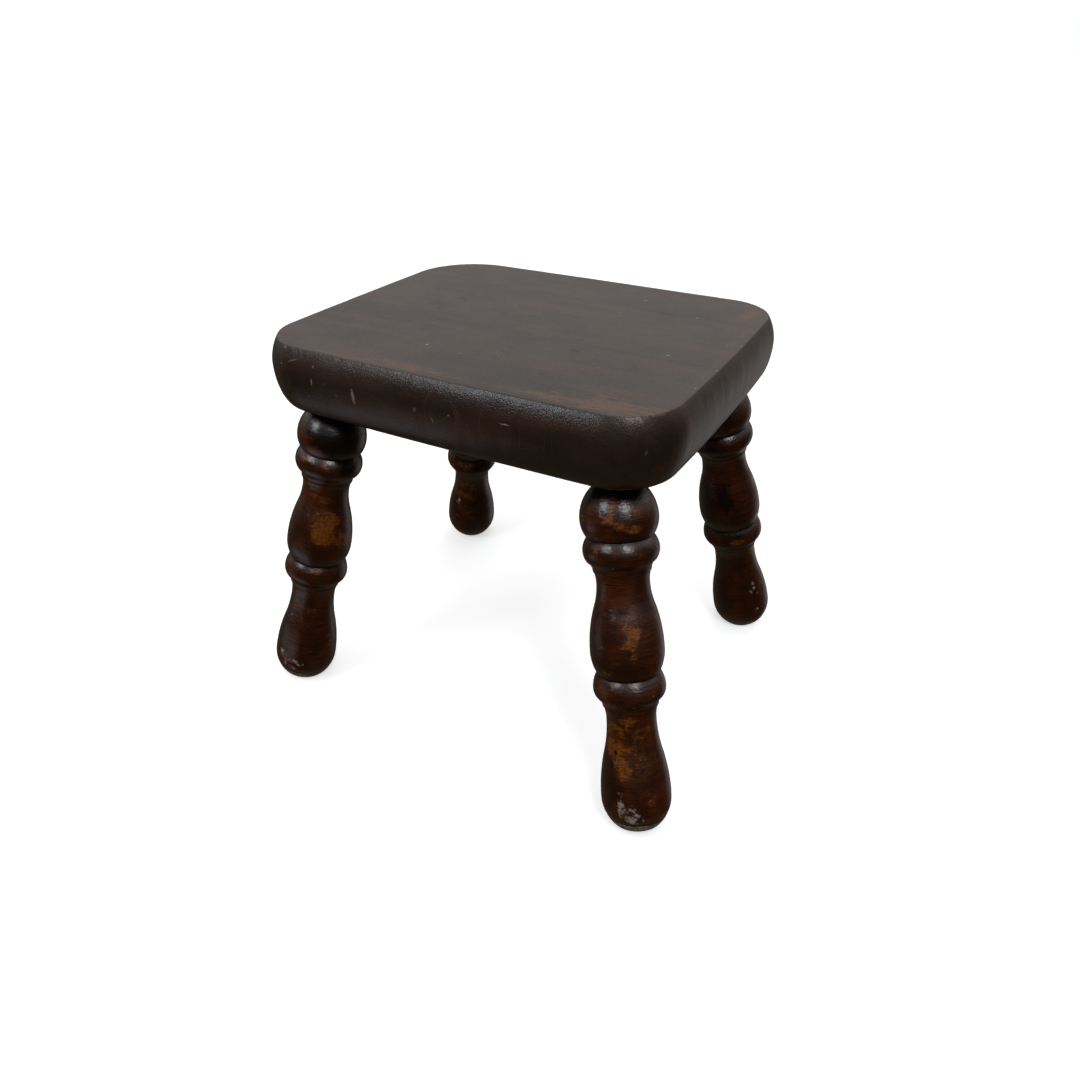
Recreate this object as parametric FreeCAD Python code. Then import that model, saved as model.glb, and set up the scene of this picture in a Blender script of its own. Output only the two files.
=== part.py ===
import FreeCAD, Part
import math
import os

V = FreeCAD.Vector
os.makedirs("parts", exist_ok=True)

# ---------------------------------------------------------------- dimensions
# Millimetres, +Z up, floor at z = 0, front of the stool towards -Y.
HEIGHT = 245.0                 # floor to the flat top of the seat
SEAT_THICK = 41.0
SEAT_HALF_X = 124.0            # sharp top edge, half lengths before rounding
SEAT_HALF_Y = 102.5
BOW = {"front": 2.0, "right": 2.5, "rear": 0.5, "left": 1.0}
CORNER_R = {"front_left": 31.0, "front_right": 30.0, "rear_right": 30.0, "rear_left": 42.0}
BULGE = 5.5                    # how far the side stands out beyond the top edge
BULGE_DROP = 17.0              # depth below the top where it stands out most
UNDERCUT = 9.5                 # how far the side runs back in again, to the underside
SEAM_Y = (-22.0, 54.5)         # the two glued joints between the three seat boards

# Each leg: where its axis meets the underside, and its lean outwards in degrees.
LEGS = {
    "front_right": (92.5, -73.0, 13.0, 13.0),
    "front_left": (-93.5, -75.0, 9.5, 10.5),
    "rear_right": (98.5, 66.5, 10.0, 10.0),
    "rear_left": (-87.5, 69.0, 11.0, 11.5),
}

# Turned leg, measured down its axis from its shoulder: (distance, radius).
COLLAR = (6.0, 12.5)           # short plain neck under the seat
BALL = (24.5, 21.5)            # widest ring of the top ball
GROOVE_1 = (34.5, 18.3)
BEAD_1 = (42.0, 21.1)
BEAD_1_FOOT = (47.5, 19.4)     # where the bead turns into the hollow below it
LEDGE_1 = (53.5, 16.3)         # fine step at the bottom of that hollow
NECK_1 = (60.0, 14.9)
VASE = (100.0, 21.1)
GROOVE_2 = (113.0, 17.8)
BEAD_2 = (122.5, 20.8)
BEAD_2_FOOT = (127.0, 19.1)
LEDGE_2 = (132.5, 16.3)
NECK_2 = (141.5, 14.5)
FOOT = (191.5, 20.8)
END = (207.0, 14.9)            # rim of the flat turned end
STEP = 0.4                     # height of the fine steps
TURN_1 = 0.34                  # where hollow turns to swell, neck to vase
TURN_2 = 0.43                  # the same, neck to foot
WORN = 0.8                     # worn off each foot where it stands on the floor

TENON_R = 11.0
TENON_LEN = 27.0
TENON_CHAMFER = 1.5
SOCKET_R = 11.05               # leaves room for the glue
SOCKET_DEPTH = 29.0
OVERRUN = 10.0                 # how far a tool or a tenon runs on into empty room or wood
ROOM = 200.0                   # half the width of a block larger than the stool

UNDERSIDE = HEIGHT - SEAT_THICK


# ---------------------------------------------------------------- seat
def seat_outline(z):
    """Bowed rectangle with rounded corners: the seat's sharp top edge, at height z."""
    x, y = SEAT_HALF_X, SEAT_HALF_Y
    sides = [
        Part.Arc(V(-x, -y, z), V(0, -y - BOW["front"], z), V(x, -y, z)),
        Part.Arc(V(x, -y, z), V(x + BOW["right"], 0, z), V(x, y, z)),
        Part.Arc(V(x, y, z), V(0, y + BOW["rear"], z), V(-x, y, z)),
        Part.Arc(V(-x, y, z), V(-x - BOW["left"], 0, z), V(-x, -y, z)),
    ]
    block = Part.Face(Part.Wire([s.toShape() for s in sides])).extrude(V(0, 0, 10))
    corners = {
        "front_left": (-x, -y),
        "front_right": (x, -y),
        "rear_right": (x, y),
        "rear_left": (-x, y),
    }
    for name, (cx, cy) in corners.items():
        upright = [
            e for e in block.Edges
            if all(math.hypot(v.X - cx, v.Y - cy) < 0.01 for v in e.Vertexes)
        ]
        block = block.makeFillet(CORNER_R[name], upright)
    low = min(block.Faces, key=lambda f: f.CenterOfMass.z)
    return low.OuterWire


def seat_side(edge):
    """Section of the seat's side, set square to the outline at the start of an edge."""
    start = edge.valueAt(edge.FirstParameter)
    along = edge.tangentAt(edge.FirstParameter)
    out = along.cross(V(0, 0, 1))
    if out.dot(V(start.x, start.y, 0)) < 0:
        out = out * -1

    def at(offset, drop):
        return start + out * offset - V(0, 0, drop)

    radius = (BULGE_DROP ** 2 + BULGE ** 2) / (2 * BULGE)
    half = math.asin(BULGE_DROP / radius) / 2
    mid = at(BULGE - radius * (1 - math.cos(half)), BULGE_DROP - radius * math.sin(half))
    upper = Part.Arc(at(0, 0), mid, at(BULGE, BULGE_DROP)).toShape()
    centre = at(BULGE - UNDERCUT, BULGE_DROP)
    ellipse = Part.Ellipse(at(BULGE - UNDERCUT, SEAT_THICK), at(BULGE, BULGE_DROP), centre)
    lower = ellipse.toShape(0, math.pi / 2)
    return Part.Wire(Part.__sortEdges__([upper, lower]))


def loop_at(edges, z):
    """Flat face inside those of the edges that lie at one height."""
    level = [e for e in edges if all(abs(v.Z - z) < 0.01 for v in e.Vertexes)]
    return Part.Face(Part.Wire(Part.__sortEdges__(level)))


def make_seat():
    path = seat_outline(HEIGHT)
    section = seat_side(path.OrderedEdges[0])
    band = path.makePipeShell([section], False, False)
    shell = Part.makeShell(band.Faces + [loop_at(band.Edges, HEIGHT), loop_at(band.Edges, UNDERSIDE)])
    shell.sewShape()
    return Part.makeSolid(shell)


# ---------------------------------------------------------------- legs
def bend(p, q, level_at):
    """Circular arc between two (distance, radius) points, level at the one named."""
    if level_at == "q":
        return bend(q, p, "p")
    run, rise = q[0] - p[0], q[1] - p[1]
    radius = (run * run + rise * rise) / (2 * abs(rise))
    half = math.asin(min(1.0, abs(run) / radius)) / 2
    mid = (
        p[0] + math.copysign(radius * math.sin(half), run),
        p[1] + math.copysign(radius * (1 - math.cos(half)), rise),
    )
    return Part.Arc(*[V(r, 0, -s) for s, r in (p, mid, q)]).toShape()


def line(p, q):
    return Part.makeLine(V(p[1], 0, -p[0]), V(q[1], 0, -q[0]))


def between(p, q, share):
    return (p[0] + share * (q[0] - p[0]), p[1] + share * (q[1] - p[1]))


def turned_leg():
    """The turning without its tenon, standing on -Z with the underside at z = 0."""
    top = (-20.0, COLLAR[1])
    turn_1 = between(NECK_1, VASE, TURN_1)
    turn_2 = between(NECK_2, FOOT, TURN_2)
    edges = [line((top[0], 0), top), line(top, COLLAR)]
    edges += [bend(COLLAR, BALL, "q"), bend(BALL, GROOVE_1, "p")]
    for groove, bead, foot, ledge, neck, turn, swell in (
        (GROOVE_1, BEAD_1, BEAD_1_FOOT, LEDGE_1, NECK_1, turn_1, VASE),
        (GROOVE_2, BEAD_2, BEAD_2_FOOT, LEDGE_2, NECK_2, turn_2, FOOT),
    ):
        stepped = (ledge[0], ledge[1] - STEP)
        edges += [bend(groove, bead, "q"), bend(bead, foot, "p"), bend(foot, ledge, "q")]
        edges += [line(ledge, stepped), bend(stepped, neck, "q")]
        edges += [bend(neck, turn, "p"), bend(turn, swell, "q")]
    edges += [bend(VASE, GROOVE_2, "p"), bend(FOOT, END, "p")]
    edges += [line(END, (END[0], 0)), line((END[0], 0), (top[0], 0))]
    face = Part.Face(Part.Wire(Part.__sortEdges__(edges)))
    return face.revolve(V(0, 0, 0), V(0, 0, 1), 360)


def rod(radius, start, length):
    return Part.makeCylinder(radius, length, V(0, 0, -start - length))


def place(shape, x, y, down, slide):
    """Put a shape drawn along -Z onto a leg's axis, slid down it from the underside."""
    shape = shape.copy()
    turn = FreeCAD.Rotation(V(0, 0, -1), down)
    shape.Placement = FreeCAD.Placement(V(x, y, UNDERSIDE) + down * slide, turn)
    return shape


def leg_axis(x, y, lean_x, lean_y):
    """Downward direction of a leg, and how far it slides down to reach the floor."""
    down = V(
        math.copysign(math.tan(math.radians(lean_x)), x),
        math.copysign(math.tan(math.radians(lean_y)), y),
        -1,
    )
    down.normalize()
    steep = -down.z
    reach = UNDERSIDE + WORN - END[1] * math.sqrt(1 - steep ** 2)
    return down, reach / steep - END[0]


def make_leg(x, y, lean_x, lean_y):
    down, slide = leg_axis(x, y, lean_x, lean_y)
    body = place(turned_leg(), x, y, down, slide)
    room = Part.makeBox(2 * ROOM, 2 * ROOM, UNDERSIDE, V(x - ROOM, y - ROOM, 0))
    body = body.common(room)
    tenon = rod(TENON_R, -TENON_LEN, TENON_LEN + OVERRUN)
    tip = max(tenon.Edges, key=lambda e: e.CenterOfMass.z)
    tenon = place(tenon.makeChamfer(TENON_CHAMFER, [tip]), x, y, down, 0)
    return body.fuse(tenon).removeSplitter()


def make_socket(x, y, lean_x, lean_y):
    down = leg_axis(x, y, lean_x, lean_y)[0]
    return place(rod(SOCKET_R, -SOCKET_DEPTH, SOCKET_DEPTH + OVERRUN), x, y, down, 0)


# ---------------------------------------------------------------- the stool
seat = make_seat()
for spec in LEGS.values():
    seat = seat.cut(make_socket(*spec))

pieces = {}
cuts = (-ROOM,) + SEAM_Y + (ROOM,)
for name, near, far in zip(("front", "middle", "rear"), cuts, cuts[1:]):
    strip = Part.makeBox(2 * ROOM, far - near, 2 * ROOM, V(-ROOM, near, 0))
    pieces["seat_board_" + name] = seat.common(strip)
for name, spec in LEGS.items():
    pieces["leg_" + name] = make_leg(*spec)

box = Part.makeCompound(list(pieces.values())).optimalBoundingBox()
shift = V(-(box.XMin + box.XMax) / 2, -(box.YMin + box.YMax) / 2, 0)
for name, shape in pieces.items():
    solid = shape.translated(shift).Solids[0]
    solid.exportStep("parts/" + name + ".step")
    print(name, len(shape.Solids), solid.isValid(), round(solid.Volume))
print("size", round(box.XLength, 2), round(box.YLength, 2), round(box.ZLength, 2))
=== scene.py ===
import math

import bmesh
import bpy
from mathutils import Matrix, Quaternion, Vector, noise


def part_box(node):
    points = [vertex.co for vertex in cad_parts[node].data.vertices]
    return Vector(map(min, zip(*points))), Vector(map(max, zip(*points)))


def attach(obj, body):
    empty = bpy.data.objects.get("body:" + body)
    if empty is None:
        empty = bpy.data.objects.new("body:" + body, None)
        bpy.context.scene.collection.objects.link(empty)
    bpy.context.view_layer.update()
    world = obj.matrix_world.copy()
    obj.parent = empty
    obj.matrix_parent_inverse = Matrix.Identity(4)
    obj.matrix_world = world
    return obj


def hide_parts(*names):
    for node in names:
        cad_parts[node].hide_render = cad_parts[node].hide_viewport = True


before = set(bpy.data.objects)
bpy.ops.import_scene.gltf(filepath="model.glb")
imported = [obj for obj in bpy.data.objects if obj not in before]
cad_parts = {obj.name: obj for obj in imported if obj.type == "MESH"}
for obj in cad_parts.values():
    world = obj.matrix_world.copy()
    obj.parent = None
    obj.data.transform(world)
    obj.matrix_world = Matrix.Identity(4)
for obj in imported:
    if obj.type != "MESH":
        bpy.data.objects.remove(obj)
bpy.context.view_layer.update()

MM = 0.001

# ---------------------------------------------------------------- dimensions, in millimetres
# The same driving sizes as the CAD model. Seat sizes are of its sharp top edge.
HEIGHT = 245.0
SEAT_THICK = 41.0
UNDERSIDE = HEIGHT - SEAT_THICK
HALF_X, HALF_Y = 124.0, 102.5
BOWS = (2.0, 2.5, 0.5, 1.0)             # front, right, rear, left
CORNERS = (31.0, 30.0, 30.0, 42.0)      # front left, front right, rear right, rear left
BULGE, BULGE_DROP, UNDERCUT = 5.5, 17.0, 9.5
SEAMS = (-22.0, 54.5)
SEAM_DEPTHS = (0.09, 0.05)
SEAM_REACH, DIRT_REACH = 0.7, 0.9       # half widths of the dip at a seam and of the dirt in it

# Where each leg's axis meets the underside, and its lean outwards in degrees.
LEGS = {
    "front_right": (92.5, -73.0, 13.0, 13.0),
    "front_left": (-93.5, -75.0, 9.5, 10.5),
    "rear_right": (98.5, 66.5, 10.0, 10.0),
    "rear_left": (-87.5, 69.0, 11.0, 11.5),
}

# The turned profile, measured down the leg's axis from its shoulder: (distance, radius).
COLLAR = (6.0, 12.5)
BALL = (24.5, 21.5)
VASE = (100.0, 21.1)
FOOT = (191.5, 20.8)
END = (207.0, 14.9)
UPPER = dict(groove=(34.5, 18.3), bead=(42.0, 21.1), bead_foot=(47.5, 19.4), ledge=(53.5, 16.3),
             neck=(60.0, 14.9), swell=VASE, turn=0.34)
LOWER = dict(groove=(113.0, 17.8), bead=(122.5, 20.8), bead_foot=(127.0, 19.1), ledge=(132.5, 16.3),
             neck=(141.5, 14.5), swell=FOOT, turn=0.43)
STEP, STEP_RUN = 0.4, 0.15              # height and length of the fine steps
WORN = 0.8                              # worn off each foot where it stands on the floor
FOOT_LINE, LINE_REACH = 200.2, 0.8      # the dark line round each foot, and half its width
TENON_R, TENON_LEN, SOCKET_R, SOCKET_DEPTH = 11.0, 27.0, 11.05, 29.0
TENON_CHAMFER = 1.5

# The CAD model is centred on its own box, so the seat's middle is found from the boards' boxes.
SEAT_MID_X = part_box("seat_board_middle")[0].x / MM + HALF_X + BULGE + BOWS[3]
SEAT_MID_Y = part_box("seat_board_front")[0].y / MM + HALF_Y + BULGE + BOWS[0]


def to_frame(x, y, z):
    """A point given from the seat's middle in millimetres, in the shared frame in metres."""
    return Vector(((x + SEAT_MID_X) * MM, (y + SEAT_MID_Y) * MM, z * MM))


def from_frame(point):
    """The other way round: millimetres from the seat's middle."""
    return point[0] / MM - SEAT_MID_X, point[1] / MM - SEAT_MID_Y, point[2] / MM


def wobble(x, y, z, size, seed=0.0):
    """Smooth noise from -1 to 1 with features about size millimetres across."""
    return noise.noise(Vector((x / size + seed, y / size - seed, z / size + 0.37 * seed)))


def fade(value, at, reach):
    """1 where value equals at, falling smoothly to nearly nothing at twice the reach."""
    return math.exp(-((value - at) / reach) ** 2)


# ---------------------------------------------------------------- seat
AROUND = 176                # points along each of the outline's four sides
ARRIS_STEPS = 5
SIDE_STEPS = 11
UNDER_STEPS = 13
SIDE_FADE = 6.0             # depth at which the top's sinking has given way to the side's unevenness


def side_points(side):
    """Points along one side of the outline, from mid-corner to mid-corner: place and normal."""
    width = 2 * (HALF_X if side % 2 == 0 else HALF_Y)
    first, last = CORNERS[side], CORNERS[(side + 1) % 4]
    arc_in, arc_out = first * math.pi / 4, last * math.pi / 4
    straight = width - first - last
    total = arc_in + straight + arc_out
    turn = side * math.pi / 2
    start = ((-HALF_X, -HALF_Y), (HALF_X, -HALF_Y), (HALF_X, HALF_Y), (-HALF_X, HALF_Y))[side]
    points = []
    for i in range(AROUND + 1):
        run = total * i / AROUND
        if run < arc_in:
            angle = math.radians(225) + run / first
            along, inward = first + first * math.cos(angle), first + first * math.sin(angle)
        elif run < arc_in + straight:
            angle = math.radians(270)
            along, inward = first + run - arc_in, 0.0
        else:
            angle = math.radians(270) + (run - arc_in - straight) / last
            along, inward = width - last + last * math.cos(angle), last + last * math.sin(angle)
        inward -= BOWS[side] * (1 - (2 * along / width - 1) ** 2)
        x = start[0] + along * math.cos(turn) - inward * math.sin(turn)
        y = start[1] + along * math.sin(turn) + inward * math.cos(turn)
        points.append((x, y, math.cos(angle + turn), math.sin(angle + turn)))
    return points


RING = [point for side in range(4) for point in side_points(side)[:-1]]


def arris_wear(x, y):
    """How far the seat's top edge is rounded over by use, in millimetres."""
    front_right = fade(x, 95, 45) * fade(y, -95, 30)
    front = fade(x, -15, 60) * fade(y, -103, 12)
    rough = 0.5 + 0.5 * wobble(x, y, 0, 11, 3.1)
    return 0.35 + 0.7 * front_right + 0.3 * front + 0.6 * rough ** 3


def side_offset(drop):
    """How far the seat's side stands out from the top edge at some depth below the top."""
    if drop <= BULGE_DROP:
        radius = (BULGE_DROP ** 2 + BULGE ** 2) / (2 * BULGE)
        return BULGE - radius + math.sqrt(radius ** 2 - (BULGE_DROP - drop) ** 2)
    share = (drop - BULGE_DROP) / (SEAT_THICK - BULGE_DROP)
    return BULGE - UNDERCUT * (1 - math.sqrt(max(0.0, 1 - share * share)))


def side_inset(x, y, drop):
    """How far the uneven side lies inside its true shape, in millimetres."""
    return 0.12 * (1 + wobble(x, y, drop, 34, 2.2)) + 0.05 * (1 + wobble(x, y, drop, 9, 7.7))


def rim_levels(wear):
    """(offset, drop) of each ring from the flat top, over the edge and down to the underside."""
    levels = []
    low = wear * 0.8
    for i in range(ARRIS_STEPS + 1):
        t = i / ARRIS_STEPS
        levels.append((-wear * (1 - t) ** 2 + side_offset(low) * t * t, low * t * t))
    for i in range(1, SIDE_STEPS + 1):
        drop = low + (BULGE_DROP - low) * i / SIDE_STEPS
        levels.append((side_offset(drop), drop))
    for i in range(1, UNDER_STEPS + 1):
        angle = math.pi / 2 * i / UNDER_STEPS
        levels.append((BULGE - UNDERCUT * (1 - math.cos(angle)),
                       BULGE_DROP + (SEAT_THICK - BULGE_DROP) * math.sin(angle)))
    return levels


def coons(bounds, i, j):
    """Point of a grid inside four boundary curves: i runs along the bottom, and j up the left."""
    bottom, right, top, left = bounds
    u, v = i / AROUND, j / AROUND
    return tuple(
        (1 - v) * bottom[i][k] + v * top[i][k] + (1 - u) * left[j][k] + u * right[j][k]
        - (1 - u) * (1 - v) * bottom[0][k] - u * (1 - v) * bottom[-1][k]
        - (1 - u) * v * top[0][k] - u * v * top[-1][k]
        for k in range(2)
    )


# Knocks in the flat top: x, y, length along the grain, width, depth.
TOP_DENTS = (
    (46.5, -33.0, 4.0, 1.3, 0.25), (-63.0, 20.5, 2.4, 1.3, 0.25), (-62.5, -5.0, 1.8, 1.4, 0.18),
    (-87.0, 16.5, 1.6, 1.3, 0.2), (-79.0, -39.0, 2.0, 1.3, 0.2), (13.0, -52.0, 1.6, 1.6, 0.12),
    (48.0, -72.0, 1.6, 1.3, 0.2), (68.0, 53.0, 6.0, 1.1, 0.22), (-20.0, 60.0, 9.0, 5.0, 0.12),
    (84.0, -86.0, 10.0, 5.0, 0.15), (-30.0, -96.0, 9.0, 4.0, 0.15),
)


def top_sink(x, y):
    """How far the worn top lies below the flat, in millimetres."""
    sink = 0.10 * (1 + wobble(x, y, 0, 70, 1.3)) + 0.03 * (1 + wobble(x, y * 2.2, 0, 14, 5.2))
    sink += 0.25 * fade(x, 5, 70) * fade(y, -5, 60)
    for dent_x, dent_y, length, width, depth in TOP_DENTS:
        sink += depth * fade(x, dent_x, length) * fade(y, dent_y, width)
    for seam, depth in zip(SEAMS, SEAM_DEPTHS):
        sink += depth * fade(y, seam, SEAM_REACH)
    return sink


def seat_mesh():
    """The whole seat as one closed surface, before it is parted into boards."""
    verts, faces = [], []

    def put(x, y, z):
        verts.append(to_frame(x, y, z))
        return len(verts) - 1

    rings = []
    levels = [rim_levels(arris_wear(x, y)) for x, y, _, _ in RING]
    for step in range(len(levels[0])):
        row = []
        for (x, y, nx, ny), level in zip(RING, levels):
            out, drop = level[step]
            share = min(1.0, drop / SIDE_FADE)
            out -= side_inset(x, y, drop) * share
            z = HEIGHT - drop - top_sink(x, y) * (1 - share)
            row.append(put(x + nx * out, y + ny * out, max(UNDERSIDE, z)))
        rings.append(row)
    for upper, lower in zip(rings, rings[1:]):
        for i in range(len(RING)):
            k = (i + 1) % len(RING)
            faces.append((upper[i], lower[i], lower[k], upper[k]))

    def cap(row, z_at, flip):
        """Closes a ring with a grid of four-sided faces."""
        local = [from_frame(verts[i])[:2] for i in row + row[:1]]
        bounds = [local[side * AROUND:(side + 1) * AROUND + 1] for side in range(4)]
        bounds[2].reverse()
        bounds[3].reverse()
        grid = {}
        for j in range(AROUND + 1):
            for i in range(AROUND + 1):
                if j == 0:
                    grid[i, j] = row[i]
                elif i == AROUND:
                    grid[i, j] = row[AROUND + j]
                elif j == AROUND:
                    grid[i, j] = row[3 * AROUND - i]
                elif i == 0:
                    grid[i, j] = row[4 * AROUND - j]
                else:
                    x, y = coons(bounds, i, j)
                    grid[i, j] = put(x, y, z_at(x, y))
        for j in range(AROUND):
            for i in range(AROUND):
                quad = (grid[i, j], grid[i + 1, j], grid[i + 1, j + 1], grid[i, j + 1])
                faces.append(tuple(reversed(quad)) if flip else quad)

    cap(rings[0], lambda x, y: HEIGHT - top_sink(x, y), False)
    cap(rings[-1], lambda x, y: UNDERSIDE, True)
    mesh = bpy.data.meshes.new("seat")
    mesh.from_pydata([tuple(v) for v in verts], [], faces)
    return mesh


def keep_between(whole, low, high):
    """Copy of a mesh cut down to a strip in y, closed again at each cut."""
    bm = bmesh.new()
    bm.from_mesh(whole)
    for y, outward in ((low, -1), (high, 1)):
        if abs(y) > HALF_Y:
            continue
        at = to_frame(0, y, 0)
        everything = bm.verts[:] + bm.edges[:] + bm.faces[:]
        cut = bmesh.ops.bisect_plane(bm, geom=everything, dist=1e-7, plane_co=at,
                                     plane_no=(0, outward, 0), clear_outer=True)
        rim = [e for e in cut["geom_cut"] if isinstance(e, bmesh.types.BMEdge)]
        bmesh.ops.edgeloop_fill(bm, edges=rim)
    bmesh.ops.recalc_face_normals(bm, faces=bm.faces)
    mesh = bpy.data.meshes.new("board")
    bm.to_mesh(mesh)
    bm.free()
    return mesh


# ---------------------------------------------------------------- legs
LEG_AROUND = 112                        # points round each ring of a leg
COLLAR_STEPS = 5
TIGHT, FINE, PLAIN = 0.5, 0.6, 0.9      # spacing of the points along the profile
# The rings that close the foot: how far beyond the end, and radius.
END_RINGS = ((-0.05, END[1] - 0.7), (0.0, END[1] - 2.2), (-0.1, END[1] / 2 - 0.2))


def leg_axis(name):
    """(point on the underside, direction down the axis, slide, front and side directions)."""
    x, y, lean_x, lean_y = LEGS[name]
    down = Vector((
        math.copysign(math.tan(math.radians(lean_x)), x),
        math.copysign(math.tan(math.radians(lean_y)), y),
        -1,
    )).normalized()
    steep = -down.z
    slide = (UNDERSIDE + WORN - END[1] * math.sqrt(1 - steep ** 2)) / steep - END[0]
    front = (Vector((0, -1, 0)) + down * down.y).normalized()
    side = front.cross(down)
    if side.x < 0:
        side.negate()
    return Vector((x, y, UNDERSIDE)), down, slide, front, side


def bend(p, q, level_at, spacing=PLAIN):
    """Points after p on a circular arc to q, where the arc runs level at one of the two."""
    run, rise = q[0] - p[0], q[1] - p[1]
    radius = (run * run + rise * rise) / (2 * abs(rise))
    sweep = math.asin(min(1.0, run / radius))
    steps = max(4, round(radius * sweep / spacing))
    start, sign = (p, 1) if level_at == "p" else (q, -1)
    points = []
    for i in range(1, steps + 1):
        a = sweep * (i if level_at == "p" else steps - i) / steps
        lift = math.copysign(radius * (1 - math.cos(a)), rise)
        points.append((start[0] + sign * radius * math.sin(a), start[1] + sign * lift))
    return points


def turned_profile():
    """(distance, radius) down the leg from the bottom of its collar to the rim of its end."""
    points = [COLLAR] + bend(COLLAR, BALL, "q")
    last = BALL
    for part in (UPPER, LOWER):
        groove, neck, swell = part["groove"], part["neck"], part["swell"]
        stepped = (part["ledge"][0] + STEP_RUN, part["ledge"][1] - STEP)
        middle = tuple(neck[k] + part["turn"] * (swell[k] - neck[k]) for k in (0, 1))
        points += bend(last, groove, "p", TIGHT)
        points += bend(groove, part["bead"], "q", TIGHT)
        points += bend(part["bead"], part["bead_foot"], "p", FINE)
        points += bend(part["bead_foot"], part["ledge"], "q", FINE)
        points += [stepped] + bend(stepped, neck, "q")
        points += bend(neck, middle, "p") + bend(middle, swell, "q")
        last = swell
    return points + bend(FOOT, END, "p", FINE)


PROFILE = turned_profile()

# Knocks in the legs: distance down, angle from the front, half height, half width, depth.
LEG_DENTS = {
    "front_right": (
        (195, 1, 3.0, 3.0, 0.5), (186, -4, 5.0, 3.5, 0.25), (86, 36, 8, 5, 0.2),
        (156, -8, 9, 4, 0.3), (120, -20, 3, 3, 0.3), (74, 20, 2, 3, 0.3), (150, 70, 4, 3, 0.3),
        (40, 60, 2, 3, 0.3),
    ),
    "front_left": (
        (195, -10, 3.0, 3.0, 0.5), (86, 46, 9, 6, 0.35), (190, 60, 3, 4, 0.3), (150, 45, 5, 4, 0.2),
        (41, 0, 2, 4, 0.3),
    ),
    "rear_right": (
        (167, 57, 3, 3, 0.35), (190, 55, 4, 3, 0.3), (120, 30, 3, 4, 0.3), (80, 100, 4, 4, 0.3),
    ),
    "rear_left": (
        (164, -8, 4, 3, 0.4), (118, 26, 3, 4, 0.3), (60, -60, 3, 4, 0.3),
    ),
}


def degrees_apart(a, b):
    return (a - b + 180) % 360 - 180


def leg_inset(name, s, r, angle, seed):
    """How far the leg's surface lies inside a perfect turning, in millimetres."""
    a = math.radians(angle)
    x, y = r * math.cos(a), r * math.sin(a)
    out_of_round = 0.10 * (1 + math.cos(2 * a + seed))
    waves = 0.10 * (1 + wobble(x, y, s, 26, seed))
    tool_rings = 0.045 * (1 + wobble(x * 0.15, y * 0.15, s, 2.3, seed))
    inset = out_of_round + waves + tool_rings + 0.25 * fade(s, FOOT_LINE, LINE_REACH)
    for at, turn, half_s, half_a, depth in LEG_DENTS[name]:
        across = math.radians(degrees_apart(angle, turn)) * r
        inset += depth * fade(s, at, half_s) * fade(across, 0, half_a)
    return inset


def leg_rows(name):
    """Rules for the leg's rings, from the tenon's end to the middle of the foot.

    Each rule turns an angle into (distance below the underside, radius).
    """
    _, down, slide, front, side = leg_axis(name)
    seed = 1.7 * sorted(LEGS).index(name)

    def shoulder(r, angle):
        """Distance along the axis at which a point at radius r meets the seat's underside."""
        a = math.radians(angle)
        return -r * (front.z * math.cos(a) + side.z * math.sin(a)) / down.z

    def plain(s, r):
        return lambda angle: (s, r)

    def collar(share):
        def rule(angle):
            start = shoulder(COLLAR[1], angle)
            return start + (COLLAR[0] + slide - start) * share, COLLAR[1]
        return rule

    def turning(s, r):
        return lambda angle: (s + slide, r - leg_inset(name, s, r, angle, seed))

    rows = [plain(-TENON_LEN, TENON_R - TENON_CHAMFER), plain(TENON_CHAMFER - TENON_LEN, TENON_R)]
    rows += [plain(-TENON_LEN / 2, TENON_R), lambda angle: (shoulder(TENON_R, angle), TENON_R)]
    rows += [collar(i / COLLAR_STEPS) for i in range(COLLAR_STEPS)]
    rows += [turning(s, r) for s, r in PROFILE]
    rows += [plain(END[0] + beyond + slide, r) for beyond, r in END_RINGS]
    return rows


def leg_mesh(name):
    """A turned leg with its tenon. Its mesh carries each point's place on the lathe."""
    joint, down, slide, front, side = leg_axis(name)
    rows = leg_rows(name)
    verts, faces, turned = [], [], []
    for row in rows:
        for i in range(LEG_AROUND):
            angle = i * 360 / LEG_AROUND
            a = math.radians(angle)
            s, r = row(angle)
            place = joint + down * s + (front * math.cos(a) + side * math.sin(a)) * r
            if s > COLLAR[0]:
                place.z = max(0.0, place.z)
            verts.append(to_frame(*place))
            turned += (r * math.cos(a) * MM, r * math.sin(a) * MM, (s - slide) * MM)
    last = len(verts) - LEG_AROUND
    for upper in range(0, last, LEG_AROUND):
        lower = upper + LEG_AROUND
        for i in range(LEG_AROUND):
            k = (i + 1) % LEG_AROUND
            faces.append((upper + i, upper + k, lower + k, lower + i))
    faces.append(tuple(range(LEG_AROUND)))
    faces.append(tuple(range(last, last + LEG_AROUND)))
    mesh = bpy.data.meshes.new("leg")
    mesh.from_pydata([tuple(v) for v in verts], [], faces)
    store(mesh, "turned", turned, "FLOAT_VECTOR")
    bm = bmesh.new()
    bm.from_mesh(mesh)
    bmesh.ops.recalc_face_normals(bm, faces=bm.faces)
    bm.to_mesh(mesh)
    bm.free()
    return mesh


OVERRUN = 10.0              # how far the socket cutter reaches out below the seat


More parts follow.
